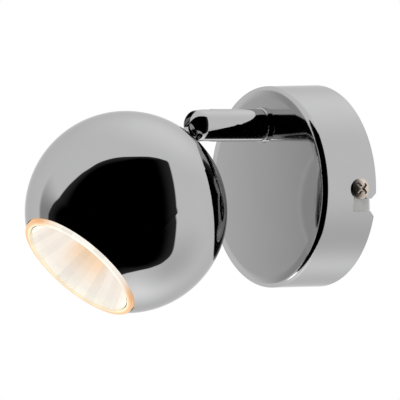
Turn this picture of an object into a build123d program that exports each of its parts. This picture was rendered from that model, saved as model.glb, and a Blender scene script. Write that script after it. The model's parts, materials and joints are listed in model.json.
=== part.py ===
from build123d import *
import os
from math import cos, radians, sin, sqrt

# A pivoting spotlight wall light. Origin: centre of the base on the wall.
# +X is to the right as one faces the wall, +Y goes into the wall, +Z is up. Millimetres.

# ---------------------------------------------------------------- sizes: base cover
cover_rear_r = 40.0        # outer radius at the wall
cover_front_r = 39.4       # outer radius at the front, a little less for the draft
cover_depth = 24.1         # from the wall to the front face
cover_wall = 1.0
cover_edge_r = 1.8         # outer rounding of the front edge
crown_width = 4.3          # where the face starts to fall away to its edge
crown_drop = 0.3
cut_over = 1.0             # how far a cutter reaches past what it cuts

# bayonet slots of the cover, one on each side
slot_entry_width = 4.8
slot_leg_width = 5.6       # of the leg that the screw slides along
slot_end_gap = 0.35        # from the clamped screw's shank to the slot's closed end
slot_entry_rise = -8.4     # height of the entry's middle on the right side
slot_mouth_flare = 2.0     # chamfer at the rim, each side
slot_corner_r = 0.9

# ---------------------------------------------------------------- sizes: wall bracket
strap_width = 22.4
strap_t = 1.5
strap_bend_r = 0.3         # inside its bends
ear_over_screw = 6.5       # how far the ears reach past the cover screws' axis
ear_gap = 0.2              # between an ear's corners and the cover's inside
ear_corner_r = 3.0
ear_collar_t = 1.6         # extruded collar behind each tapped hole
ear_collar_r = 3.2
wall_slot_pitch = 50.0
wall_slot_length = 10.0
wall_slot_width = 4.5

# ---------------------------------------------------------------- sizes: screws
thread_gap = 0.05          # all round a screw's shank
cover_screw_r = 2.0
cover_screw_length = 9.0
cover_screw_head_r = 3.85
cover_screw_head_h = 1.7
cover_screw_depth = 7.5    # distance of the screw's axis from the wall
cover_screw_rise = -2.2    # on the right side; the left one is as far above the middle
cover_screw_turn = 45.0    # degrees that the clamped screws' crosses stand turned
small_screw_r = 1.5
small_head_r = 2.75
small_head_h = 1.7
head_rim_share = 0.3       # of a head's height, below its dome
recess_depth_share = 0.6   # of a head's height
recess_span_share = 1.35   # of a head's radius, from end to end of a cross
recess_width_share = 0.32  # of a head's radius
screw_tip_share = 0.4      # of a shank's radius, cut off round its tip

# ---------------------------------------------------------------- sizes: terminal block
pole_pitch = 8.5
pole_count = 3
pole_width = 7.7
block_height = 16.0
block_depth = 12.5
block_web_height = 9.0
web_over_tube = 0.6        # the web between the poles is as deep as the tubes and this
block_edge_r = 0.8
tube_r = 2.4               # brass tube of a pole
tube_bore_r = 1.5
tube_gap = 0.1
tube_axis_depth = 4.4      # from the block's back
tube_end_inset = 1.0
well_r = 1.9
well_screw_rise = 4.2
well_screw_r = 1.2
well_head_r = 1.8
well_head_h = 1.6
well_head_sink = 1.4       # from the block's front to the top of a screw head

# ---------------------------------------------------------------- sizes: earth terminal
earth_side_gap = 1.05      # between the block and the earth screw's head
earth_head_r = 3.0
earth_tag_r = 2.9
earth_tag_t = 0.6
earth_neck_length = 2.3    # between the tag's eye and its barrel
earth_neck_lap = 0.5       # how far the neck runs into both
earth_barrel_r = 1.7
earth_barrel_length = 5.0
earth_lead_inset = 0.6     # the lead's end inside the barrel
earth_loop_rise = 6.5      # how far the earth lead arches above the block
earth_bend_r = 3.5

# ---------------------------------------------------------------- sizes: leads
lead_r = 0.95
lead_pitch = 2.1           # between the live and the neutral lead in the arm
lead_end_gap = 0.3         # where a lead meets the next stretch across a joint
lead_start = 2.0           # how far a lead's end sits inside its pole
lead_rise = 4.0            # straight stretch of a lead above the block
lead_bend_r = 5.0
lead_mouth_bend_r = 3.5
head_bend_r = 1.4
head_turn_gap = 1.4        # from the lampholder's back to the leads' second turn

# ---------------------------------------------------------------- sizes: swivel
arm_inset = 15.2           # from the cover's front radius in to the arm's axis
arm_r = 6.3
arm_edge = 0.4             # chamfer at the arm's shoulder
stub_r = 5.0
stub_proud = 2.9           # the stub's end beyond its nut
arm_bore_r = 3.2
collar_r = 6.9
collar_t = 1.5
collar_edge_r = 0.5
swivel_play = 0.03         # between faces that turn on each other
swivel_fit = 0.05          # radial clearance of the stub in its bush
bush_wall = 1.0
bush_flange_r = 8.6
bush_flange_t = 1.0
fit_gap = 0.05             # between pieces that are pressed or seated together
wave_r = 8.0
wave_t = 0.8
stop_washer_r = 7.8
stop_washer_t = 0.8
stop_tab_over = 0.1        # the tab's end beyond the pin
stop_tab_width = 1.8
stop_pin_r = 0.8
stop_pin_gap = 0.6         # between the pin and the bush's flange
nut_across = 14.0
nut_t = 3.2
nut_corner_cut = 0.05      # taken off a nut's corners by its turned edge
nut_edge = 0.5

# ---------------------------------------------------------------- sizes: fork and tilt
pivot_reach = 53.2         # distance of the tilt axis from the wall
tongue_t = 3.0
tongue_width = 7.5
washer_t = 0.45
washer_r = 3.5
pivot_play = 0.03
pivot_fit = 0.05
fork_floor_gap = 1.45      # between the tongue's round end and the bottom of the slot
cheek_seat_t = 2.3         # left of the near cheek under the pivot screw's head
cheek_cover_t = 1.3        # left of the far cheek beyond the blind thread
sleeve_gap = 0.3           # between the sleeve and the arm's bore
sleeve_wall = 0.5

# ---------------------------------------------------------------- sizes: head
tilt_at_rest = 43.5        # degrees that the lamp's axis points below the horizontal
ball_r = 37.9
ball_wall = 0.8
lug_length = 9.2           # from the tilt axis to the ball
mouth_gap = 0.3            # between the lamp's rim and the ball's mouth
nose_gap = 0.6             # between the fork's nose and the lug's shoulder
shoulder_lap = 1.0         # how far the tongue and the stud run into the shoulder
shoulder_neck_r = 4.6
shoulder_r = 6.2
stud_r = 4.9
stud_proud = 0.3
stud_bore_r = 2.5
tongue_window_gap = 1.65   # between the pivot hole and the window for the leads
saddle_r = 8.0
saddle_edge_t = 1.5
thin_nut_t = 2.5
bracket_t = 1.0
bracket_height = 7.7       # from the saddle washer to the lampholder's back
bracket_width = 12.0
bracket_nut_gap = 1.2      # between the nut's corners and the bracket's legs
bracket_foot_over = 2.6    # the foot's end beyond the screw's axis
bracket_bend_r = 0.6

# ---------------------------------------------------------------- sizes: lampholder
holder_length = 30.0
holder_width = 19.0
holder_corner_r = 5.0
holder_edge = 0.6
holder_back_t = 3.1
holder_plate_t = 2.0
holder_screw_x = 12.0
holder_screw_grip = 5.0    # ceramic under the head of a holder screw
holder_screw_over = 0.5    # the screw's end beyond the bracket
holder_lead_inset = 1.8    # of the lead holes from the pins
contact_t = 0.9
contact_gap = 0.3          # between a contact and the pin's foot
foot_gap = 0.2             # between the pin's foot and the front plate
key_neck_gap = 0.2
key_head_gap = 0.3
key_turn = 20.0            # degrees between the entry and the locked place

# ---------------------------------------------------------------- sizes: lamp
lamp_r = 24.8
lamp_length = 46.5         # without its pins
rim_depth = 4.0
rim_edge_r = 0.6
bowl_r = 23.6              # outside of the bowl where the rim ends
bowl_mid_r = 17.4
bowl_mid_back = 16.9       # from the lamp's front
neck_r = 9.6
neck_top_back = 26.9       # from the lamp's front
neck_end_back = 31.7       # from the lamp's front
capsule_hole_r = 5.0
lens_r = 22.6
lens_t = 1.8
lens_sink = 0.3
lens_edge = 0.4
facet_count = 32           # facets in one ring of the reflector
facet_rings = 7
facet_mouth_inset = 0.6    # of the outermost facets from the lens's edge
facet_throat_r = 6.0
facet_throat_sink = 0.5    # behind the place where the bowl meets the neck
capsule_r = 4.2
capsule_wall = 0.7
capsule_length = 16.8
filament_r = 0.7
filament_length = 5.0
filament_rise = 11.8       # top of the filament above the neck's end
filament_wire_r = 0.3
filament_wire_x = 1.6
filament_grip = 0.4        # of the lower wire round the coil's end
base_length = 20.0
base_width = 14.0
base_corner_r = 3.0
base_collar_t = 3.0
base_edge = 0.8
base_gap = 0.3             # between the lamp's base and the holder's face
pin_pitch = 10.0
pin_neck_r = 1.5
pin_head_r = 2.5
pin_head_length = 3.5
pin_edge_r = 0.5

# ---------------------------------------------------------------- frames
arm_rise = cover_front_r - arm_inset
# WALL: X right, Y up, Z out of the wall. HEAD: Z along the lamp's axis, from the tilt axis.
WALL = Plane(origin=(0, 0, 0), x_dir=(1, 0, 0), z_dir=(0, -1, 0))
HEAD = Plane(
    origin=(0, -pivot_reach, arm_rise),
    x_dir=(1, 0, 0),
    z_dir=(0, -cos(radians(tilt_at_rest)), -sin(radians(tilt_at_rest))),
)
FROM_BELOW = (Align.CENTER, Align.CENTER, Align.MIN)
FROM_ABOVE = (Align.CENTER, Align.CENTER, Align.MAX)

# ---------------------------------------------------------------- places on the wall side
cover_inside = cover_depth - cover_wall
cover_draft = (cover_rear_r - cover_front_r) / cover_depth
ear_depth = cover_screw_depth + ear_over_screw
ear_room_r = min(cover_rear_r, cover_rear_r - cover_draft * ear_depth) - cover_wall
ear_x = sqrt(ear_room_r ** 2 - (strap_width / 2) ** 2) - ear_gap
block_length = (pole_count - 1) * pole_pitch + pole_width
block_web_depth = tube_axis_depth + tube_r + web_over_tube
earth_screw_x = -block_length / 2 - earth_side_gap - earth_head_r

# ---------------------------------------------------------------- places on the arm's axis
bush_r = stub_r + swivel_fit + bush_wall
bush_inner_end = cover_inside - bush_flange_t
wave_end = bush_inner_end - wave_t
stop_washer_start = wave_end - swivel_play
stop_washer_end = stop_washer_start - stop_washer_t
stop_pin_offset = bush_flange_r + stop_pin_gap + stop_pin_r
stop_tab_r = stop_pin_offset + stop_pin_r + stop_tab_over
nut_end = stop_washer_end - nut_t
stub_reach = nut_end - stub_proud
arm_shoulder = cover_depth + collar_t + swivel_play
fork_half = tongue_t / 2 + pivot_play + washer_t
fork_slot_depth = tongue_width / 2 + fork_floor_gap
fork_bottom = pivot_reach - fork_slot_depth
pivot_head_seat = fork_half + cheek_seat_t
pivot_thread_end = arm_r - cheek_cover_t
sleeve_r = arm_bore_r - sleeve_gap
sleeve_end = stub_reach - lead_end_gap

# ---------------------------------------------------------------- places on the lamp's axis
ball_reach = lug_length + ball_r
shell_inner_r = ball_r - ball_wall
shoulder_start = arm_r + nose_gap
tongue_bore_r = lead_pitch / 2 + lead_r + fit_gap
tongue_window_start = small_screw_r + pivot_fit + tongue_window_gap
saddle_seat = ball_reach - sqrt(shell_inner_r ** 2 - saddle_r ** 2) + saddle_edge_t
stud_end = saddle_seat + bracket_t + thin_nut_t + stud_proud
mouth_r = lamp_r + mouth_gap
holder_back = saddle_seat + bracket_height
holder_floor = holder_back + holder_back_t
foot_bottom = holder_floor + contact_t + contact_gap
foot_top = foot_bottom + pin_head_length
plate_back = foot_top + foot_gap
holder_face = plate_back + holder_plate_t
lamp_back = holder_face + base_gap
lamp_front = lamp_back + lamp_length
holder_screw_seat = holder_back + holder_screw_grip
bracket_leg_x = nut_across / sqrt(3) + bracket_nut_gap + bracket_t
bracket_foot_x = holder_screw_x + bracket_foot_over
bowl_mid = lamp_front - bowl_mid_back
neck_top = lamp_front - neck_top_back
neck_end = lamp_front - neck_end_back
lens_back = lamp_front - lens_sink - lens_t
facet_throat = neck_top - facet_throat_sink
facet_mouth_r = lens_r - facet_mouth_inset
capsule_dome = neck_end + capsule_length - capsule_r
filament_end = neck_end + filament_rise
pin_x = pin_pitch / 2
holder_lead_x = pin_x - holder_lead_inset


# ---------------------------------------------------------------- helpers
def rod(radius, start, end):
    """A round bar on the Z axis from start to end."""
    return Pos(0, 0, start) * Cylinder(radius, end - start, align=FROM_BELOW)


def ring(outer, inner, start, end):
    """A flat or long ring on the Z axis."""
    return rod(outer, start, end) - rod(inner, start, end)


def cross_bar(radius, x_from, x_to):
    """A round bar along X between two places."""
    bar = Cylinder(radius, x_to - x_from, align=FROM_BELOW)
    return Pos(x_from, 0, 0) * Rot(0, 90, 0) * bar


def hex_nut(bore, start, end):
    """A hexagon nut on the Z axis, with the corners of its faces broken."""
    blank = extrude(RegularPolygon(nut_across / 2, 6, major_radius=False), end - start)
    crown = Cylinder(nut_across / sqrt(3) - nut_corner_cut, end - start, align=FROM_BELOW)
    crown = chamfer(crown.edges().filter_by(GeomType.CIRCLE), nut_edge)
    return Pos(0, 0, start) * (blank & crown) - rod(bore, start, end)


def screw(shank, length, head, head_h, cross=True, turn=0):
    """A screw with a domed head: the head's seat at Z = 0, the shank below it."""
    dome_h = head_h * (1 - head_rim_share)
    dome_r = (head ** 2 + dome_h ** 2) / (2 * dome_h)
    cap = rod(head, 0, head_h) & Pos(0, 0, head_h - dome_r) * Sphere(dome_r)
    depth = head_h * recess_depth_share
    wing = Box(head * recess_span_share, head * recess_width_share, depth, align=FROM_ABOVE)
    blade = Box(head * 2, head * recess_width_share, depth, align=FROM_ABOVE)
    recess = wing + Rot(0, 0, 90) * wing if cross else blade
    tip = Cylinder(shank, length, align=FROM_ABOVE)
    tip_edge = tip.edges().filter_by(GeomType.CIRCLE).sort_by(Axis.Z)[0]
    tip = chamfer(tip_edge, shank * screw_tip_share)
    return cap - Pos(0, 0, head_h) * Rot(0, 0, turn) * recess + tip


def lead(points, radii):
    """An insulated lead of round section along straight runs joined by arcs."""
    path = FilletPolyline(*points, radius=radii)
    section = Plane(origin=path @ 0, z_dir=path % 0) * Circle(lead_r)
    return sweep(section, path=path)


def cover_radius(depth):
    """The cover's outer radius at a distance from the wall."""
    return cover_rear_r - cover_draft * depth


def both_sides(shape):
    """The shape and its copy half a turn round the Z axis."""
    return [shape, Rot(0, 0, 180) * shape]


def group(shapes):
    """Separate solids that share one sub-part."""
    return Compound([solid for shape in shapes for solid in shape.solids()])


# ---------------------------------------------------------------- wall side
def bayonet_slot():
    """L-shaped cutter for the right side: in from the rim, then up to the screw."""
    face = Plane(origin=(cover_front_r / 2, 0, 0), x_dir=(0, 1, 0), z_dir=(1, 0, 0))
    left = slot_entry_rise - slot_entry_width / 2
    right = slot_entry_rise + slot_entry_width / 2
    mouth = Polyline(
        (left - slot_mouth_flare, 0),
        (right + slot_mouth_flare, 0),
        (right, slot_mouth_flare),
        (left, slot_mouth_flare),
        close=True,
    )
    entry_depth = cover_screw_depth + slot_leg_width / 2
    entry = Pos(slot_entry_rise, entry_depth / 2) * Rectangle(slot_entry_width, entry_depth)
    leg_end = cover_screw_rise + cover_screw_r + slot_end_gap
    leg_length = leg_end - left
    leg = Pos((leg_end + left) / 2, cover_screw_depth) * Rectangle(leg_length, slot_leg_width)
    outline = make_face(mouth) + entry + leg
    corners = outline.vertices().filter_by(lambda v: v.Y > slot_mouth_flare + slot_corner_r)
    outline = fillet(corners, slot_corner_r)
    return extrude(face * outline, cover_rear_r)


def base_cover():
    """A pressed cup: flat face, soft crown to a rounded edge, side with a little draft."""
    edge_depth = cover_depth - crown_drop
    flat_r = cover_front_r - crown_width
    section = [
        Line((0, 0, cover_depth), (flat_r, 0, cover_depth)),
        TangentArc((flat_r, 0, cover_depth), (cover_front_r, 0, edge_depth), tangent=(1, 0, 0)),
        Line((cover_front_r, 0, edge_depth), (cover_rear_r, 0, 0)),
        Line((cover_rear_r, 0, 0), (0, 0, 0)),
        Line((0, 0, 0), (0, 0, cover_depth)),
    ]
    cup = revolve(make_face(section), Axis.Z)
    front_edge = cup.edges().filter_by(GeomType.CIRCLE).sort_by(Axis.Z)[1]
    cup = fillet(front_edge, cover_edge_r)
    cup = offset(cup, amount=-cover_wall, openings=cup.faces().sort_by(Axis.Z)[0])
    cup -= Pos(0, arm_rise, 0) * rod(bush_r + fit_gap, 0, cover_depth + cut_over)
    for cutter in both_sides(bayonet_slot()):
        cup -= cutter
    return WALL * cup


def wall_bracket():
    strap = Box(2 * ear_x, strap_width, ear_depth, align=FROM_BELOW)
    strap = fillet(strap.edges().filter_by(Axis.Y).group_by(Axis.Z)[0], strap_bend_r + strap_t)
    space = Box(2 * (ear_x - strap_t), strap_width * 2, ear_depth, align=FROM_BELOW)
    space = fillet(space.edges().filter_by(Axis.Y).group_by(Axis.Z)[0], strap_bend_r)
    strap -= Pos(0, 0, strap_t) * space
    strap = fillet(strap.edges().filter_by(Axis.X).group_by(Axis.Z)[-1], ear_corner_r)
    for x in (-wall_slot_pitch / 2, wall_slot_pitch / 2):
        strap -= Pos(x, 0, 0) * extrude(SlotOverall(wall_slot_length, wall_slot_width), strap_t * 2)
    strap -= Pos(earth_screw_x, 0, 0) * rod(small_screw_r + thread_gap, 0, strap_t)
    strap -= Pos(block_screw_x(), 0, 0) * rod(small_screw_r + thread_gap, 0, strap_t)
    collar_x = ear_x - strap_t - ear_collar_t
    collar = cross_bar(ear_collar_r, collar_x, ear_x - strap_t)
    hole = cross_bar(cover_screw_r + thread_gap, collar_x - cut_over, ear_x + cut_over)
    place = Pos(0, cover_screw_rise, cover_screw_depth)
    for piece in both_sides(place * collar):
        strap += piece
    for piece in both_sides(place * hole):
        strap -= piece
    return WALL * strap


def cover_screws():
    near = cover_radius(cover_screw_depth - cover_screw_head_r)
    far = cover_radius(cover_screw_depth + cover_screw_head_r)
    seat = max(near, far) + fit_gap
    head = (cover_screw_head_r, cover_screw_head_h)
    one = screw(cover_screw_r, cover_screw_length, *head, turn=cover_screw_turn)
    placed = Pos(seat, cover_screw_rise, cover_screw_depth) * Rot(0, 90, 0) * one
    return WALL * group(both_sides(placed))


def pole_places():
    """The earth's pole comes first, then the live one and the neutral one."""
    first = -(pole_count - 1) / 2 * pole_pitch
    return [first + i * pole_pitch for i in range(pole_count)]


def block_screw_x():
    """The block's screw stands between its first two poles."""
    return pole_places()[0] + pole_pitch / 2


def terminal_block():
    block = Box(block_length, block_web_height, block_web_depth, align=FROM_BELOW)
    tube_space = Rot(90, 0, 0) * Cylinder(tube_r + tube_gap, block_height * 2)
    well = rod(well_r, tube_axis_depth, block_depth + cut_over)
    for x in pole_places():
        pole = Box(pole_width, block_height, block_depth, align=FROM_BELOW)
        pole = fillet(pole.edges().group_by(Axis.Z)[-1], block_edge_r)
        block += Pos(x, 0, 0) * pole
    for x in pole_places():
        block -= Pos(x, 0, tube_axis_depth) * tube_space
        for y in (-well_screw_rise, well_screw_rise):
            block -= Pos(x, y, 0) * well
    block -= Pos(block_screw_x(), 0, 0) * rod(small_screw_r + thread_gap, 0, block_depth)
    block -= Pos(block_screw_x(), 0, 0) * rod(small_head_r + fit_gap * 2, block_web_depth, block_depth)
    return WALL * Pos(0, 0, strap_t) * block


def terminal_tubes():
    length = block_height - 2 * tube_end_inset
    tube = Rot(90, 0, 0) * (Cylinder(tube_r, length) - Cylinder(tube_bore_r, length))
    tap = rod(well_screw_r + thread_gap, 0, tube_r * 2)
    tube -= Pos(0, well_screw_rise, 0) * tap
    tube -= Pos(0, -well_screw_rise, 0) * tap
    tubes = [Pos(x, 0, strap_t + tube_axis_depth) * tube for x in pole_places()]
    return WALL * group(tubes)


def terminal_screws():
    seat = strap_t + block_depth - well_head_sink - well_head_h
    length = seat - strap_t - tube_axis_depth - lead_r
    one = screw(well_screw_r, length, well_head_r, well_head_h, cross=False)
    rises = (-well_screw_rise, well_screw_rise)
    return WALL * group([Pos(x, y, seat) * one for x in pole_places() for y in rises])


def block_screw():
    seat = strap_t + block_web_depth
    return WALL * Pos(block_screw_x(), 0, seat) * screw(small_screw_r, seat, small_head_r, small_head_h)


def earth_screw():
    seat = strap_t + earth_tag_t
    return WALL * Pos(earth_screw_x, 0, seat) * screw(small_screw_r, seat, earth_head_r, small_head_h)


def earth_tag():
    """Ring tag with its crimp barrel pointing up."""
    eye = ring(earth_tag_r, small_screw_r + thread_gap, 0, earth_tag_t)
    neck_length = earth_neck_length + 2 * earth_neck_lap
    neck = Box(earth_barrel_r, neck_length, earth_tag_t, align=(Align.CENTER, Align.MIN, Align.MIN))
    neck = Pos(0, earth_tag_r - earth_neck_lap, 0) * neck
    tube = Cylinder(earth_barrel_r, earth_barrel_length) - Cylinder(lead_r, earth_barrel_length)
    barrel_y = earth_tag_r + earth_neck_length + earth_barrel_length / 2
    barrel = Pos(0, barrel_y, earth_barrel_r) * Rot(90, 0, 0) * tube
    return WALL * Pos(earth_screw_x, 0, strap_t) * (eye + neck + barrel)


def earth_lead():
    """Arches from the tag's barrel over to the first pole's upper end."""
    barrel_depth = strap_t + earth_barrel_r
    tube_depth = strap_t + tube_axis_depth
    top = block_height / 2 + earth_loop_rise
    pole_x = pole_places()[0]
    start = earth_tag_r + earth_neck_length + earth_lead_inset
    points = [
        (earth_screw_x, start, barrel_depth),
        (earth_screw_x, top, barrel_depth),
        (pole_x, top, tube_depth),
        (pole_x, block_height / 2 - lead_start, tube_depth),
    ]
    return WALL * lead(points, [earth_bend_r, earth_bend_r])


def base_leads():
    """Live and neutral, from the last two poles to the arm's mouth."""
    tube_depth = strap_t + tube_axis_depth
    leads = []
    for pole_x, side in zip(pole_places()[-2:], (-1, 1)):
        mouth_x = side * lead_pitch / 2
        points = [
            (pole_x, block_height / 2 - lead_start, tube_depth),
            (pole_x, block_height / 2 + lead_rise, tube_depth),
            (mouth_x, arm_rise, tube_depth),
            (mouth_x, arm_rise, sleeve_end - lead_end_gap),
        ]
        leads.append(lead(points, [lead_bend_r, lead_mouth_bend_r]))
    return WALL * group(leads)


def on_arm(shape):
    """Places a piece of the swivel, made on the Z axis, on the arm's axis."""
    return WALL * Pos(0, arm_rise, 0) * shape


def collar_ring():
    blank = ring(collar_r, stub_r + swivel_fit, cover_depth, cover_depth + collar_t)
    rim = blank.edges().filter_by(GeomType.CIRCLE).group_by(Axis.Z)[-1].sort_by(SortBy.RADIUS)[-1]
    return on_arm(fillet(rim, collar_edge_r))


def swivel_bush():
    bush = rod(bush_r, bush_inner_end, cover_depth) + rod(bush_flange_r, bush_inner_end, cover_inside)
    return on_arm(bush - rod(stub_r + swivel_fit, bush_inner_end, cover_depth))


def wave_washer():
    return on_arm(ring(wave_r, stub_r + swivel_fit, wave_end, bush_inner_end))


def stop_pin():
    """Stands on the inside of the cover, straight above the arm's axis."""
    pin = rod(stop_pin_r, stop_washer_end, cover_inside)
    return on_arm(Pos(0, stop_pin_offset, 0) * pin)


# ---------------------------------------------------------------- arm
def arm_tube():
    """Hollow stub, round body and a rounded fork, turned from one bar."""
    body = rod(arm_r, arm_shoulder, pivot_reach)
    body = chamfer(body.edges().filter_by(GeomType.CIRCLE).sort_by(Axis.Z)[0], arm_edge)
    body += Pos(0, 0, pivot_reach) * Sphere(arm_r)
    body += rod(stub_r, stub_reach, arm_shoulder)
    slot_depth = fork_slot_depth + arm_r
    body -= Pos(0, 0, fork_bottom) * Box(2 * fork_half, arm_r * 3, slot_depth * 2, align=FROM_BELOW)
    body -= rod(arm_bore_r, stub_reach, fork_bottom)
    pivot = Pos(0, 0, pivot_reach)
    body -= pivot * cross_bar(small_screw_r + thread_gap, -arm_r, pivot_thread_end + fit_gap)
    body -= pivot * cross_bar(small_head_r + fit_gap * 2, -arm_r * 2, -pivot_head_seat)
    return on_arm(body)


def stop_washer():
    """Turns with the arm; its tab meets the pin at both ends of the swivel."""
    plate = rod(stop_washer_r, stop_washer_end, stop_washer_start)
    tab = Box(stop_tab_width, stop_tab_r, stop_washer_t, align=(Align.CENTER, Align.MAX, Align.MIN))
    plate += Pos(0, 0, stop_washer_end) * tab
    return on_arm(plate - rod(stub_r + fit_gap, stop_washer_end, stop_washer_start))


def swivel_nut():
    return on_arm(hex_nut(stub_r + thread_gap, nut_end, stop_washer_end))


def pivot_screw():
    length = pivot_head_seat + pivot_thread_end
    one = Rot(0, -90, 0) * screw(small_screw_r, length, small_head_r, small_head_h)
    return on_arm(Pos(-pivot_head_seat, 0, pivot_reach) * one)


def pivot_washers():
    washer = ring(washer_r, small_screw_r + thread_gap, -washer_t, 0)
    one = Pos(fork_half, 0, 0) * Rot(0, 90, 0) * washer
    pair = both_sides(one)
    return on_arm(Pos(0, 0, pivot_reach) * group(pair))


def arm_sleeve():
    return on_arm(ring(sleeve_r, sleeve_r - sleeve_wall, sleeve_end, fork_bottom))


def arm_leads():
    wires = [Pos(side * lead_pitch / 2, 0, 0) * rod(lead_r, sleeve_end, fork_bottom) for side in (-1, 1)]
    return on_arm(group(wires))


# ---------------------------------------------------------------- head
def ball_depth(radius, sphere):
    """Distance from the tilt axis to the rear of a sphere round the ball's middle."""
    return ball_reach - sqrt(sphere ** 2 - radius ** 2)


def pivot_lug():
    """Tongue, round shoulder with a seat that fits the ball, and hollow stud."""
    side = Plane(origin=(0, 0, 0), x_dir=(0, 1, 0), z_dir=(1, 0, 0))
    root = shoulder_start + shoulder_lap
    blade = Circle(tongue_width / 2) + Pos(0, root / 2) * Rectangle(tongue_width, root)
    tongue = extrude(side * blade, tongue_t / 2, both=True)
    seat = ball_depth(shoulder_r, ball_r)
    shoulder = Cone(shoulder_neck_r, shoulder_r, seat - shoulder_start, align=FROM_BELOW)
    body = tongue + Pos(0, 0, shoulder_start) * shoulder
    body -= Pos(0, 0, ball_reach) * Sphere(ball_r + fit_gap)
    body += rod(stud_r, root, stud_end)
    body -= rod(stud_bore_r, ball_depth(0, ball_r), stud_end)
    body -= rod(tongue_bore_r, tongue_window_start + tongue_bore_r, stud_end)
    window = Pos(0, 0, (tongue_window_start + shoulder_start) / 2)
    body -= window * Box(tongue_t * 2, tongue_bore_r * 2, shoulder_start - tongue_window_start)
    body -= cross_bar(small_screw_r + pivot_fit, -tongue_t, tongue_t)
    return HEAD * body


def ball_shell():
    """One revolved wall, from the hole for the stud round to the mouth."""
    hole = stud_r + fit_gap * 2
    hole_out = ball_depth(hole, ball_r)
    hole_in = ball_depth(hole, shell_inner_r)
    mouth_out = ball_reach + sqrt(ball_r ** 2 - mouth_r ** 2)
    mouth_in = ball_reach + sqrt(shell_inner_r ** 2 - mouth_r ** 2)
    section = [
        ThreePointArc((hole, 0, hole_out), (ball_r, 0, ball_reach), (mouth_r, 0, mouth_out)),
        Line((mouth_r, 0, mouth_out), (mouth_r, 0, mouth_in)),
        ThreePointArc((mouth_r, 0, mouth_in), (shell_inner_r, 0, ball_reach), (hole, 0, hole_in)),
        Line((hole, 0, hole_in), (hole, 0, hole_out)),
    ]
    return HEAD * revolve(make_face(section), Axis.Z)


def saddle_washer():
    """Rounded against the ball's inside, flat under the bracket."""
    blank = ring(saddle_r, stud_r + fit_gap, ball_depth(0, ball_r), saddle_seat)
    return HEAD * (blank & Pos(0, 0, ball_reach) * Sphere(shell_inner_r - fit_gap))


def holder_bracket():
    """U-shaped strap with its feet turned out, bent from one strip."""
    web_top = saddle_seat
    foot_low = holder_back - bracket_t
    inner_leg = bracket_leg_x - bracket_t
    outline = Polyline(
        (-bracket_foot_x, foot_low),
        (-bracket_leg_x, foot_low),
        (-bracket_leg_x, web_top),
        (bracket_leg_x, web_top),
        (bracket_leg_x, foot_low),
        (bracket_foot_x, foot_low),
        (bracket_foot_x, holder_back),
        (inner_leg, holder_back),
        (inner_leg, web_top + bracket_t),
        (-inner_leg, web_top + bracket_t),
        (-inner_leg, holder_back),
        (-bracket_foot_x, holder_back),
        close=True,
    )
    strip = make_face(Plane.XZ * outline)
    strap = extrude(strip, bracket_width / 2, both=True)
    bends = strap.edges().filter_by(Axis.Y).filter_by(lambda e: abs(e.center().X) < holder_screw_x)
    strap = fillet(bends, bracket_bend_r)
    strap -= rod(stud_r + fit_gap, web_top, web_top + bracket_t)
    for x in (-holder_screw_x, holder_screw_x):
        strap -= Pos(x, 0, 0) * rod(small_screw_r + thread_gap, foot_low, holder_back)
    return HEAD * strap


def shell_nut():
    start = saddle_seat + bracket_t
    return HEAD * hex_nut(stud_r + thread_gap, start, start + thin_nut_t)


def key_arc(width):
    """A kidney shape: the path of a pin as the lamp is turned, with a given width."""
    return SlotArc(CenterArc((0, 0), pin_x, 0, key_turn), width)


def lampholder():
    """Ceramic block with two keyhole slots, wider behind the front plate."""
    outline = RectangleRounded(holder_length, holder_width, holder_corner_r)
    block = Pos(0, 0, holder_back) * extrude(outline, holder_face - holder_back)
    block = chamfer(block.edges().group_by(Axis.Z)[-1], holder_edge)
    wide = key_arc(2 * (pin_head_r + key_head_gap))
    narrow = key_arc(2 * (pin_neck_r + key_neck_gap))
    cavity = Pos(0, 0, holder_floor) * extrude(wide, plate_back - holder_floor)
    neck_way = Pos(0, 0, plate_back) * extrude(narrow, holder_plate_t)
    entry = Rot(0, 0, key_turn) * Pos(pin_x, 0, 0) * rod(pin_head_r + key_head_gap, plate_back, holder_face)
    wire_hole = Pos(holder_lead_x, 0, 0) * rod(lead_r + thread_gap, holder_back, holder_floor)
    for cutter in (cavity, neck_way, entry, wire_hole):
        for piece in both_sides(cutter):
            block -= piece
    for x in (-holder_screw_x, holder_screw_x):
        block -= Pos(x, 0, 0) * rod(small_screw_r + thread_gap, holder_back, holder_face)
        block -= Pos(x, 0, 0) * rod(small_head_r + fit_gap * 2, holder_screw_seat, holder_face)
    return HEAD * block


def holder_screws():
    length = holder_screw_seat - holder_back + bracket_t + holder_screw_over
    one = screw(small_screw_r, length, small_head_r, small_head_h)
    pair = [Pos(x, 0, holder_screw_seat) * one for x in (-holder_screw_x, holder_screw_x)]
    return HEAD * group(pair)


def holder_contacts():
    """Two brass leaves on the floor of the holder's cavities."""
    leaf = extrude(key_arc(2 * pin_head_r), contact_t)
    return HEAD * group(both_sides(Pos(0, 0, holder_floor) * leaf))


def head_leads():
    """From the tongue's window through the stud to the lampholder."""
    start = tongue_window_start + lead_end_gap
    turn_one = stud_end - lead_r
    turn_two = holder_back - head_turn_gap
    points = [
        (0, lead_pitch / 2, start),
        (0, lead_pitch / 2, turn_one),
        (holder_lead_x, 0, turn_two),
        (holder_lead_x, 0, holder_floor),
    ]
    return HEAD * group(both_sides(lead(points, [head_bend_r, head_bend_r])))


# ---------------------------------------------------------------- lamp
def facet_radius(depth):
    """A paraboloid through the reflector's throat and mouth."""
    share = (depth - facet_throat) / (lens_back - facet_throat)
    return sqrt(facet_throat_r ** 2 + (facet_mouth_r ** 2 - facet_throat_r ** 2) * share)


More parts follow.
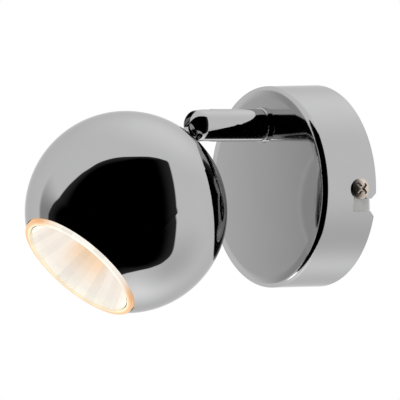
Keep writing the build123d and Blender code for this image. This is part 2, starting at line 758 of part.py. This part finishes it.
def faceted_hollow():
    """Rings of flat mirrors: a stack of polygons that grows along the paraboloid."""
    depths = []
    for i in range(facet_rings + 1):
        share = i / facet_rings
        radius = facet_throat_r + (facet_mouth_r - facet_throat_r) * share
        rise = (radius ** 2 - facet_throat_r ** 2) / (facet_mouth_r ** 2 - facet_throat_r ** 2)
        depths.append(facet_throat + (lens_back - facet_throat) * rise)
    hollow = None
    for i in range(facet_rings):
        low = Pos(0, 0, depths[i]) * RegularPolygon(facet_radius(depths[i]), facet_count)
        high = Pos(0, 0, depths[i + 1]) * RegularPolygon(facet_radius(depths[i + 1]), facet_count)
        ring_of_facets = loft([low, high], ruled=True)
        hollow = ring_of_facets if hollow is None else hollow + ring_of_facets
    return hollow


def lamp_reflector():
    """Pressed glass bowl: rim, curved back and neck outside, flat facets inside."""
    rim_back = lamp_front - rim_depth
    section = [
        Line((0, 0, neck_end), (neck_r, 0, neck_end)),
        Line((neck_r, 0, neck_end), (neck_r, 0, neck_top)),
        ThreePointArc((neck_r, 0, neck_top), (bowl_mid_r, 0, bowl_mid), (bowl_r, 0, rim_back)),
        Line((bowl_r, 0, rim_back), (lamp_r, 0, rim_back)),
        Line((lamp_r, 0, rim_back), (lamp_r, 0, lamp_front)),
        Line((lamp_r, 0, lamp_front), (0, 0, lamp_front)),
        Line((0, 0, lamp_front), (0, 0, neck_end)),
    ]
    bowl = revolve(make_face(section), Axis.Z)
    edges = bowl.edges().filter_by(GeomType.CIRCLE).filter_by(lambda e: e.radius > bowl_r)
    bowl = fillet(edges, rim_edge_r)
    bowl -= faceted_hollow()
    bowl -= rod(lens_r + fit_gap, lens_back, lamp_front)
    bowl -= rod(capsule_hole_r, neck_end, facet_throat)
    return HEAD * bowl


def lamp_lens():
    disc = rod(lens_r, lens_back, lens_back + lens_t)
    return HEAD * chamfer(disc.edges().filter_by(GeomType.CIRCLE).sort_by(Axis.Z)[-1], lens_edge)


def lamp_capsule():
    """Quartz tube with a domed end."""
    inner = capsule_r - capsule_wall
    dome = Pos(0, 0, capsule_dome)
    outside = rod(capsule_r, neck_end, capsule_dome) + dome * Sphere(capsule_r)
    inside = rod(inner, neck_end, capsule_dome) + dome * Sphere(inner)
    return HEAD * (outside - inside)


def lamp_filament():
    """Coiled filament on the axis, held between two wires."""
    coil_start = filament_end - filament_length
    coil = rod(filament_r, coil_start, filament_end)
    wires = coil
    for side, reach in ((-1, coil_start + filament_grip), (1, filament_end)):
        post = Pos(side * filament_wire_x, 0, 0) * rod(filament_wire_r, neck_end, reach)
        bridge = Pos(0, 0, reach - filament_wire_r) * cross_bar(filament_wire_r, 0, filament_wire_x)
        if side < 0:
            bridge = Rot(0, 0, 180) * bridge
        wires += post + bridge
    return HEAD * wires


def lamp_base():
    collar = rod(neck_r, neck_end - base_collar_t, neck_end)
    outline = RectangleRounded(base_length, base_width, base_corner_r)
    block = Pos(0, 0, lamp_back) * extrude(outline, neck_end - base_collar_t - lamp_back)
    block = chamfer(block.edges().group_by(Axis.Z)[0], base_edge)
    return HEAD * (collar + block)


def lamp_pins():
    """Each pin has a thin neck and a wider foot, which locks behind the plate."""
    foot = rod(pin_head_r, foot_bottom, foot_top)
    foot = fillet(foot.edges().filter_by(GeomType.CIRCLE), pin_edge_r)
    pin = Pos(pin_x, 0, 0) * (foot + rod(pin_neck_r, foot_top - pin_edge_r, lamp_back))
    return HEAD * group(both_sides(pin))


PIECES = [
    base_cover,
    wall_bracket,
    cover_screws,
    terminal_block,
    terminal_tubes,
    terminal_screws,
    block_screw,
    earth_screw,
    earth_tag,
    earth_lead,
    base_leads,
    collar_ring,
    swivel_bush,
    wave_washer,
    stop_pin,
    arm_tube,
    stop_washer,
    swivel_nut,
    pivot_screw,
    pivot_washers,
    arm_sleeve,
    arm_leads,
    pivot_lug,
    ball_shell,
    saddle_washer,
    shell_nut,
    holder_bracket,
    lampholder,
    holder_screws,
    holder_contacts,
    head_leads,
    lamp_reflector,
    lamp_lens,
    lamp_capsule,
    lamp_filament,
    lamp_base,
    lamp_pins,
]

os.makedirs("parts", exist_ok=True)
for make in PIECES:
    export_step(make(), "parts/" + make.__name__ + ".step")
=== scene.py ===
"""Finishes and studio for the pivoting spotlight wall light.

Origin: centre of the base on the wall. +X is to the right as one faces the wall,
+Y goes into the wall, +Z is up. Metres.
"""
import json
from math import cos, radians, sin

import bmesh
import bpy
from mathutils import Matrix, Vector

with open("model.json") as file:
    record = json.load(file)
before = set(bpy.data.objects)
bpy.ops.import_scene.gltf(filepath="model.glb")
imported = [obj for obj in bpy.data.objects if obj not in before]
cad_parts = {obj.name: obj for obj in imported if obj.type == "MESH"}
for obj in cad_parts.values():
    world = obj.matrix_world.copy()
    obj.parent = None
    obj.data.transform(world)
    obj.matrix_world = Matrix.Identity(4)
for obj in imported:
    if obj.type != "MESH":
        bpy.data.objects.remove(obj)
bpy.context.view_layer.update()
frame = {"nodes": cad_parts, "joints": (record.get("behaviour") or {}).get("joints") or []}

# ---------------------------------------------------------------- camera
CAMERA_AZIMUTH = 56.998        # degrees from straight in front, towards +X
CAMERA_ELEVATION = -0.563
CAMERA_ROLL = -1.829
CAMERA_DISTANCE = 0.8295
CAMERA_ASIDE = -0.04534        # the view's middle, to the right of the origin
CAMERA_UP = -0.00559           # and above it
CAMERA_LENS = 187.9            # millimetres, as the sensor's width
CAMERA_SENSOR = 36
CAMERA_CLIP = (0.05, 50)       # nearest and farthest thing seen

# ---------------------------------------------------------------- places from the frame
JOINTS = {joint["name"]: joint for joint in frame["joints"]}
LAMP_POINT = Vector(JOINTS["lamp_twist"]["pos_m"])     # on the lamp's axis
LAMP_AXIS = Vector(JOINTS["lamp_twist"]["axis"])


def direction(azimuth, elevation):
    """Azimuth 0 is straight out from the wall, 90 to the right."""
    a, e = radians(azimuth), radians(elevation)
    return Vector((sin(a) * cos(e), -cos(a) * cos(e), sin(e)))


def place_camera():
    azimuth = radians(CAMERA_AZIMUTH)
    back = direction(CAMERA_AZIMUTH, CAMERA_ELEVATION)
    right = Vector((cos(azimuth), sin(azimuth), 0))
    up = back.cross(right)
    turn = Matrix.Rotation(radians(CAMERA_ROLL), 3, back)
    right, up = turn @ right, turn @ up
    data = bpy.data.cameras.new("camera")
    data.lens = CAMERA_LENS
    data.sensor_width = CAMERA_SENSOR
    data.clip_start, data.clip_end = CAMERA_CLIP
    camera = bpy.data.objects.new("camera", data)
    bpy.context.scene.collection.objects.link(camera)
    place = CAMERA_DISTANCE * back + CAMERA_ASIDE * right + CAMERA_UP * up
    facing = Matrix((right, up, back)).transposed().to_4x4()
    camera.matrix_world = Matrix.Translation(place) @ facing
    bpy.context.scene.camera = camera


# ---------------------------------------------------------------- shader helpers
class Shader:
    """A material's or world's node tree, with short calls for its nodes."""

    def __init__(self, tree):
        self.tree = tree
        self.tree.nodes.clear()

    def node(self, kind, **settings):
        made = self.tree.nodes.new(kind)
        for name, value in settings.items():
            setattr(made, name, value)
        return made

    def put(self, socket, value):
        """Links a socket, or sets its constant."""
        if isinstance(value, bpy.types.NodeSocket):
            self.tree.links.new(value, socket)
        elif value is not None:
            socket.default_value = value

    def math(self, operation, first, second=None, third=None):
        made = self.node("ShaderNodeMath", operation=operation)
        for socket, value in zip(made.inputs, (first, second, third)):
            self.put(socket, value)
        return made.outputs[0]

    def vector(self, operation, first, second):
        made = self.node("ShaderNodeVectorMath", operation=operation)
        for socket, value in zip(made.inputs, (first, second)):
            self.put(socket, value)
        return made.outputs["Value" if operation == "DOT_PRODUCT" else "Vector"]

    def ramp(self, factor, stops):
        made = self.node("ShaderNodeValToRGB")
        elements = made.color_ramp.elements
        while len(elements) < len(stops):
            elements.new(1.0)
        for element, (place, colour) in zip(elements, stops):
            element.position = place
            element.color = (*colour, 1)
        self.put(made.inputs[0], factor)
        return made.outputs[0]

    def noise(self, scale, detail):
        made = self.node("ShaderNodeTexNoise")
        made.inputs["Scale"].default_value = scale
        made.inputs["Detail"].default_value = detail
        self.put(made.inputs["Vector"], self.coordinates())
        return made.outputs["Fac"]

    def coordinates(self):
        return self.node("ShaderNodeTexCoord").outputs["Object"]

    def spread(self, factor, low, high):
        """Maps a factor from 0..1 to low..high."""
        return self.math("MULTIPLY_ADD", factor, high - low, low)

    def mix(self, factor, first, second):
        made = self.node("ShaderNodeMix", data_type="RGBA")
        self.put(made.inputs["Factor"], factor)
        self.put(made.inputs["A"], first)
        self.put(made.inputs["B"], second)
        return made.outputs["Result"]

    def bump(self, height, strength, distance):
        made = self.node("ShaderNodeBump")
        made.inputs["Strength"].default_value = strength
        made.inputs["Distance"].default_value = distance
        self.put(made.inputs["Height"], height)
        return made.outputs[0]

    def surface(self, shader):
        out = self.node("ShaderNodeOutputMaterial")
        self.tree.links.new(shader, out.inputs["Surface"])


def new_material(name):
    material = bpy.data.materials.new(name)
    material.use_nodes = True
    return material, Shader(material.node_tree)


def principled(shader, **values):
    """An underscore in a value's name stands for a space."""
    made = shader.node("ShaderNodeBsdfPrincipled")
    for name, value in values.items():
        shader.put(made.inputs[name.replace("_", " ")], value)
    return made


def grey(value):
    return (value, value, value)


def fade(s, value, start, end):
    """Goes smoothly from 0 at start to 1 at end."""
    made = s.node("ShaderNodeMapRange", interpolation_type="SMOOTHSTEP", clamp=True)
    s.put(made.inputs["Value"], value)
    low, high = min(start, end), max(start, end)
    made.inputs["From Min"].default_value = low
    made.inputs["From Max"].default_value = high
    made.inputs["To Min"].default_value = 0.0 if start < end else 1.0
    made.inputs["To Max"].default_value = 1.0 if start < end else 0.0
    return made.outputs["Result"]


# ---------------------------------------------------------------- finishes
# A grain is in cycles per metre, a bump is its strength and its depth in metres.
CHROME_TONE = 0.50
CHROME_TINT = (0.75, 0.75, 0.75, 1)    # of what it mirrors at a glancing angle
CHROME_HAZE = 90
METAL_PATCHES = 220
METAL_GRAIN = 3600
METAL_BUMP = (0.15, 0.00005)
MOULDED_MOTTLE = 260
MOULDED_STRENGTH = 0.3
INSULATION_GRAIN = 3000
INSULATION_ROUGH = (0.35, 0.5)
INSULATION_BUMP = (0.2, 0.00003)
GLASS_ROUGH = 0.02
GLASS_IOR = 1.46
WIRE_TONE = 0.3
WIRE_GLOW = 2.0


def chrome(name, rough_low, rough_high):
    """Bright plating: nearly even, with a faint haze that varies from place to place."""
    material, s = new_material(name)
    haze = s.noise(CHROME_HAZE, 4)
    tone = CHROME_TONE
    colour = s.ramp(haze, [(0.3, grey(tone * 0.98)), (0.7, (tone, tone, tone * 1.005))])
    made = principled(s, Base_Color=colour, Roughness=s.spread(haze, rough_low, rough_high))
    made.inputs["Metallic"].default_value = 1.0
    made.inputs["Specular Tint"].default_value = CHROME_TINT
    s.surface(made.outputs[0])
    return material


def worked_metal(name, dark, light, rough_low, rough_high):
    """Plated or bare metal with a fine grain, duller in patches."""
    material, s = new_material(name)
    patches = s.noise(METAL_PATCHES, 5)
    fine = s.noise(METAL_GRAIN, 2)
    made = principled(
        s,
        Base_Color=s.ramp(patches, [(0.3, dark), (0.7, light)]),
        Roughness=s.spread(fine, rough_low, rough_high),
        Normal=s.bump(fine, *METAL_BUMP),
    )
    made.inputs["Metallic"].default_value = 1.0
    s.surface(made.outputs[0])
    return material


def moulded(name, dark, light, rough_low, rough_high, grain=2500, depth=0.00004):
    """Plastic, ceramic or fibre: a slightly mottled colour under a fine grain."""
    material, s = new_material(name)
    mottle = s.noise(MOULDED_MOTTLE, 4)
    fine = s.noise(grain, 3)
    made = principled(
        s,
        Base_Color=s.ramp(mottle, [(0.35, dark), (0.65, light)]),
        Roughness=s.spread(fine, rough_low, rough_high),
        Normal=s.bump(fine, MOULDED_STRENGTH, depth),
    )
    s.surface(made.outputs[0])
    return material


def insulation(name, left, right):
    """Lead insulation, of one colour left of the light's middle and another right of it."""
    material, s = new_material(name)
    fine = s.noise(INSULATION_GRAIN, 2)
    split = s.node("ShaderNodeSeparateXYZ")
    s.put(split.inputs[0], s.coordinates())
    side = s.math("GREATER_THAN", split.outputs["X"], 0.0)
    made = principled(
        s,
        Base_Color=s.mix(side, (*left, 1), (*right, 1)),
        Roughness=s.spread(fine, *INSULATION_ROUGH),
        Normal=s.bump(fine, *INSULATION_BUMP),
    )
    s.surface(made.outputs[0])
    return material


# The reflector's glow is painted: an emission that stands in for the filament's light that it
# mirrors. It goes by the distance from the lamp's axis, by a step from facet to facet, and
# round the axis, with a painted highlight at the edge on one side and a painted warm
# reflection deep in the bowl on the other.
REFLECTOR_R = 0.0248
REFLECTOR_METAL = (0.10, 0.09, 0.08, 1)
REFLECTOR_ROUGH = 0.15
FACETS_AROUND = 32
FACET_TURN = 360 / FACETS_AROUND
FACET_GLOW_STEP = (0.84, 1.0)       # painted glow of the dullest and the brightest facet
REFLECTOR_PAINTED_GLOW = [                       # share of the radius, colour of the painted glow
    (0.55, (0.95, 0.80, 0.66)), (0.84, (0.95, 0.86, 0.76)), (0.88, (1.0, 0.95, 0.82)),
    (0.93, (1.0, 0.80, 0.50)), (0.955, (0.90, 0.52, 0.24)), (1.0, (0.78, 0.40, 0.16)),
]
HIGHLIGHT_TURN = 24                 # degrees round the axis, the side whose edge has the painted highlight
PAINTED_EDGE_HIGHLIGHT = (1.0, 0.95, 0.86, 1)
HIGHLIGHT_COSINE = (0.45, 0.9)      # of the angle from that side: where the painted highlight begins, is full
PAINTED_WARM_REFLECTION = (0.95, 0.58, 0.27, 1)    # painted warm reflection deep in the bowl on the other side
WARM_REFLECTION_COSINE = (-0.80, -0.97)         # the same for the painted warm reflection
WARM_REFLECTION_SHARE = (0.86, 0.62)            # and of the radius, where it begins and is full


def lamp_place(s):
    """Share of the reflector's radius away from the lamp's axis, and the angle round it."""
    across = Vector((1, 0, 0))
    offset = s.vector("SUBTRACT", s.coordinates(), tuple(LAMP_POINT))
    x = s.vector("DOT_PRODUCT", offset, tuple(across))
    y = s.vector("DOT_PRODUCT", offset, tuple(LAMP_AXIS.cross(across)))
    away = s.math("SQRT", s.math("MULTIPLY_ADD", x, x, s.math("MULTIPLY", y, y)))
    return s.math("DIVIDE", away, REFLECTOR_R), s.math("DEGREES", s.math("ARCTAN2", y, x))


def painted_glow_reflector():
    material, s = new_material("reflector_coating")
    # Painted glow, not lit by the filament: a step from facet to facet, a painted highlight at the
    # edge on one side, a painted warm reflection deep on the other.
    share, turn = lamp_place(s)
    facet = s.math("FLOOR", s.math("DIVIDE", turn, FACET_TURN))
    step = s.node("ShaderNodeTexWhiteNoise", noise_dimensions="1D")
    s.put(step.inputs["W"], facet)
    highlight_side = s.math("COSINE", s.math("RADIANS", s.math("SUBTRACT", turn, HIGHLIGHT_TURN)))
    warm_reflection = s.math("MULTIPLY", fade(s, highlight_side, *WARM_REFLECTION_COSINE), fade(s, share, *WARM_REFLECTION_SHARE))
    painted_glow = s.mix(warm_reflection, s.ramp(share, REFLECTOR_PAINTED_GLOW), PAINTED_WARM_REFLECTION)
    painted_glow = s.mix(fade(s, highlight_side, *HIGHLIGHT_COSINE), painted_glow, PAINTED_EDGE_HIGHLIGHT)
    made = principled(s, Emission_Color=painted_glow)
    s.put(made.inputs["Emission Strength"], s.spread(step.outputs["Value"], *FACET_GLOW_STEP))
    made.inputs["Base Color"].default_value = REFLECTOR_METAL
    made.inputs["Metallic"].default_value = 1.0
    made.inputs["Roughness"].default_value = REFLECTOR_ROUGH
    s.surface(made.outputs[0])
    return material


def clear_glass():
    material, s = new_material("lamp_glass")
    tint = s.ramp(s.noise(200, 2), [(0.3, (0.98, 0.97, 0.95)), (0.7, (1, 1, 0.99))])
    made = principled(s, Base_Color=tint)
    made.inputs["Roughness"].default_value = GLASS_ROUGH
    made.inputs["IOR"].default_value = GLASS_IOR
    made.inputs["Transmission Weight"].default_value = 1.0
    s.surface(made.outputs[0])
    return material


def glowing_wire():
    material, s = new_material("filament_wire")
    hot = s.ramp(s.noise(1500, 2), [(0.3, (1.0, 0.75, 0.42)), (0.7, (1.0, 0.88, 0.65))])
    made = principled(s, Base_Color=(*grey(WIRE_TONE), 1), Emission_Color=hot)
    made.inputs["Emission Strength"].default_value = WIRE_GLOW
    s.surface(made.outputs[0])
    return material


# By material slot: the darkest and the lightest colour, or left and right ones, then the
# least and the greatest roughness, then the grain and its depth.
FINISHES = {
    "chrome": chrome("chrome", 0.03, 0.06),
    "chrome_shell": chrome("chrome_shell", 0.01, 0.03),
    "zinc_steel": worked_metal("zinc_steel", (0.50, 0.50, 0.48), (0.62, 0.62, 0.60), 0.28, 0.42),
    "screw_steel": worked_metal("screw_steel", (0.66, 0.56, 0.48), (0.84, 0.74, 0.66), 0.34, 0.46),
    "brass": worked_metal("brass", (0.66, 0.47, 0.20), (0.80, 0.60, 0.30), 0.22, 0.36),
    "terminal_plastic": moulded(
        "terminal_plastic", (0.78, 0.77, 0.73), (0.84, 0.83, 0.80), 0.35, 0.5),
    "bush_plastic": moulded("bush_plastic", (0.72, 0.72, 0.70), (0.80, 0.80, 0.78), 0.4, 0.55),
    "ceramic": moulded("ceramic", (0.80, 0.78, 0.73), (0.87, 0.86, 0.82), 0.3, 0.5, 1600, 0.00008),
    "earth_insulation": insulation("earth_insulation", (0.08, 0.32, 0.10), (0.80, 0.66, 0.06)),
    "lead_insulation": insulation("lead_insulation", (0.22, 0.09, 0.04), (0.06, 0.16, 0.50)),
    "sleeve_fibre": moulded(
        "sleeve_fibre", (0.62, 0.58, 0.50), (0.74, 0.70, 0.62), 0.6, 0.8, 3500, 0.0001),
    "reflector_coating": painted_glow_reflector(),
    "lamp_glass": clear_glass(),
    "filament_wire": glowing_wire(),
}
COVER_FINISH = chrome("chrome_cover", 0.06, 0.10)      # a little softer than the arm


def finish_nodes():
    """Each CAD node takes the finish of its material slot in the record."""
    for name, node in frame["nodes"].items():
        for place in node.material_slots:
            slot = place.material.name.split(".")[0]
            place.material = COVER_FINISH if name == "base_cover" else FINISHES[slot]


# ---------------------------------------------------------------- studio
# Polished metal mirrors the world: a pale room, and in it what follows. Angles are in degrees.
WORLD_LEVEL = 0.94             # the room's brightness
BACKGROUND_LEVEL = 1.0         # what the camera sees behind the light

# A big black board stands beyond the camera. Its outline, as the angle from straight out at
# each turn round that direction (0 towards +X, 90 up), is a smooth closed curve.
BOARD_OUTLINE = [
    (-180, 40), (-150, 44), (-120, 56), (-95, 68), (-80, 78), (-70, 88), (-63, 101),
    (-56, 112), (-46, 118), (-36, 118.5), (54, 118.5), (58, 110), (64, 86), (72, 70), (80, 57),
    (91, 43), (115, 31), (143, 28), (166, 34), (180, 40),
]
BOARD_SCALE = 120              # the angle at the curve's full height
BOARD_SOFT = 2                 # width of the soft edge
BOARD_PALE = (0.035, 18)       # its brightness at the edge, and the way from there to black

# The room darkens towards the board on the left.
SHADE_ANGLE = (53.2, 58)       # from straight out
SHADE_LEVEL = (0.41, 0.94)     # the brightness at those two angles
SHADE_TURN = (140, 177)        # fades in between these turns

# Wide soft patches behind the wall's plane: azimuth, elevation, radius, brightness there.
PATCHES = [
    (-158, 50, 50, 1.16),
    (-150, -74, 40, 1.30),
    (140, -48, 42, 0.74),
]

# Oval soft boxes: azimuth, elevation, half width, half height, the share of it that the soft
# edge takes, brightness.
SOFT_BOXES = [
    (-38, -42, 16, 13, 0.3, 2.4),
]

FLOOR_DROP = 0.35              # below the wall light's middle
FLOOR_R = 2.6
FLOOR_SIDES = 96
FLOOR_ROUGH = 0.9


def level_where(s, mask, inside, outside):
    """Brightness inside a mask, and outside it."""
    change = s.math("SUBTRACT", inside, outside)
    return s.math("MULTIPLY_ADD", mask, change, outside)


def board_edge(s, turn):
    """The angle from straight out at which the board ends. The curve runs from 0 to 1."""
    made = s.node("ShaderNodeFloatCurve")
    s.put(made.inputs["Value"], s.math("MULTIPLY_ADD", turn, 1 / 360, 0.5))
    points = made.mapping.curves[0].points
    places = [(place / 360 + 0.5, angle / BOARD_SCALE) for place, angle in BOARD_OUTLINE]
    points[0].location, points[1].location = places[0], places[-1]
    for place in places[1:-1]:
        points.new(*place)
    for point in points:
        point.handle_type = "AUTO_CLAMPED"
    made.mapping.update()
    return s.math("MULTIPLY", made.outputs["Value"], BOARD_SCALE)


def light_world():
    """The studio as the metal mirrors it; white to the camera and through glass."""
    world = bpy.data.worlds.new("studio")
    bpy.context.scene.world = world
    world.use_nodes = True
    s = Shader(world.node_tree)
    split = s.node("ShaderNodeSeparateXYZ")
    towards = s.node("ShaderNodeTexCoord").outputs["Generated"]
    s.put(split.inputs[0], towards)
    x, y, z = split.outputs
    outward = s.math("MULTIPLY", y, -1.0)
    azimuth = s.math("DEGREES", s.math("ARCTAN2", x, outward))
    elevation = s.math("DEGREES", s.math("ARCSINE", z))
    from_front = s.math("DEGREES", s.math("ARCCOSINE", outward))
    turn = s.math("DEGREES", s.math("ARCTAN2", z, x))

    shade = s.node("ShaderNodeMapRange", clamp=True)
    s.put(shade.inputs["Value"], from_front)
    shade.inputs["From Min"].default_value, shade.inputs["From Max"].default_value = SHADE_ANGLE
    shade.inputs["To Min"].default_value, shade.inputs["To Max"].default_value = SHADE_LEVEL
    shaded = fade(s, s.math("ABSOLUTE", turn), *SHADE_TURN)
    level = level_where(s, shaded, shade.outputs["Result"], WORLD_LEVEL)

    for a, e, radius, inside in PATCHES:
        off = s.math("ARCCOSINE", s.vector("DOT_PRODUCT", towards, tuple(direction(a, e))))
        level = level_where(s, fade(s, s.math("DEGREES", off), radius, 0), inside, level)

    for a, e, half_width, half_height, soft, inside in SOFT_BOXES:
        across = s.math("DIVIDE", s.math("SUBTRACT", azimuth, a), half_width)
        up = s.math("DIVIDE", s.math("SUBTRACT", elevation, e), half_height)
        squares = s.math("MULTIPLY_ADD", across, across, s.math("MULTIPLY", up, up))
        level = level_where(s, fade(s, s.math("SQRT", squares), 1.0, 1.0 - soft), inside, level)

    edge = s.math("SUBTRACT", board_edge(s, turn), from_front)
    pale, depth = BOARD_PALE
    black = s.math("MULTIPLY", fade(s, edge, depth, 0.0), pale)
    level = level_where(s, fade(s, edge, 0.0, BOARD_SOFT), black, level)

    path = s.node("ShaderNodeLightPath").outputs
    seen = s.math("MAXIMUM", path["Is Camera Ray"], path["Is Transmission Ray"])
    level = level_where(s, seen, BACKGROUND_LEVEL, level)
    back = s.node("ShaderNodeBackground")
    back.inputs["Color"].default_value = (1, 1, 1, 1)
    s.put(back.inputs["Strength"], level)
    out = s.node("ShaderNodeOutputWorld")
    s.tree.links.new(back.outputs[0], out.inputs["Surface"])


def floor():
    """A pale floor. The metal doesn't mirror it, since its edge would cross the ball."""
    mesh = bmesh.new()
    bmesh.ops.create_circle(mesh, cap_ends=True, segments=FLOOR_SIDES, radius=FLOOR_R)
    data = bpy.data.meshes.new("floor")
    mesh.to_mesh(data)
    mesh.free()
    plane = bpy.data.objects.new("floor", data)
    plane.location = (0, 0, -FLOOR_DROP)
    bpy.context.scene.collection.objects.link(plane)
    material, s = new_material("pale_floor")
    mottle = s.ramp(s.noise(30, 4), [(0.3, grey(0.93)), (0.7, grey(0.96))])
    made = principled(s, Base_Color=mottle)
    made.inputs["Roughness"].default_value = FLOOR_ROUGH
    s.surface(made.outputs[0])
    data.materials.append(material)
    plane.visible_glossy = False


place_camera()
finish_nodes()
light_world()
floor()

bpy.context.scene.view_settings.view_transform = "Standard"
